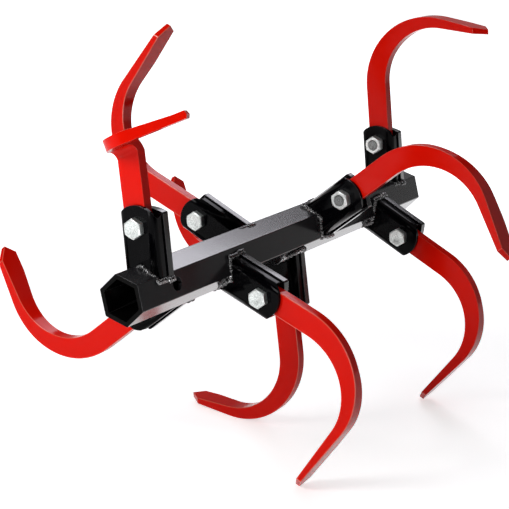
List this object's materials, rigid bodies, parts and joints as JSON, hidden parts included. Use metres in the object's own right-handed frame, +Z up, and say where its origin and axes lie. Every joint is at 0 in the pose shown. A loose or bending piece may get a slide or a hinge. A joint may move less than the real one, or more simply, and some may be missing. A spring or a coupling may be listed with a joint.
{
  "type": "tiller tine rotor",
  "caption": "Tine rotor of a walking tiller: a black hexagonal tube with welded holders that clamp curved red soil tines.",
  "frame": {"origin": "centre of the tube's hexagonal socket at its drive end", "axes": "+X along the tube from the drive end to the far end, +Z up as the rotor rests on the floor"},
  "size_m": [0.5, 0.4214, 0.3861],
  "materials": {
    "black_paint": "gloss",
    "red_enamel": "gloss",
    "zinc_steel": "zinc plated"
  },
  "bodies": {
    "root": {"hex_tube": "black_paint", "holder_channel_1": "black_paint", "holder_channel_2": "black_paint", "holder_channel_3": "black_paint", "holder_channel_4": "black_paint", "holder_channel_5": "black_paint", "holder_channel_6": "black_paint", "holder_channel_7": "black_paint", "holder_channel_8": "black_paint", "holder_channel_9": "black_paint", "holder_back_plate_1": "black_paint", "holder_back_plate_2": "black_paint", "holder_back_plate_3": "black_paint", "holder_back_plate_4": "black_paint", "holder_back_plate_5": "black_paint", "holder_back_plate_6": "black_paint", "holder_back_plate_7": "black_paint", "holder_back_plate_8": "black_paint", "holder_back_plate_9": "black_paint", "tine_1": "red_enamel", "tine_2": "red_enamel", "tine_3": "red_enamel", "tine_4": "red_enamel", "tine_5": "red_enamel", "tine_6": "red_enamel", "tine_7": "red_enamel", "tine_8": "red_enamel", "tine_9": "red_enamel", "clamp_bolt_1": "zinc_steel", "clamp_bolt_2": "zinc_steel", "clamp_bolt_3": "zinc_steel", "clamp_bolt_4": "zinc_steel", "clamp_bolt_5": "zinc_steel", "clamp_bolt_6": "zinc_steel", "clamp_bolt_7": "zinc_steel", "clamp_bolt_8": "zinc_steel", "clamp_bolt_9": "zinc_steel", "clamp_nut_1": "zinc_steel", "clamp_nut_2": "zinc_steel", "clamp_nut_3": "zinc_steel", "clamp_nut_4": "zinc_steel", "clamp_nut_5": "zinc_steel", "clamp_nut_6": "zinc_steel", "clamp_nut_7": "zinc_steel", "clamp_nut_8": "zinc_steel", "clamp_nut_9": "zinc_steel"}
  },
  "joints": []
}
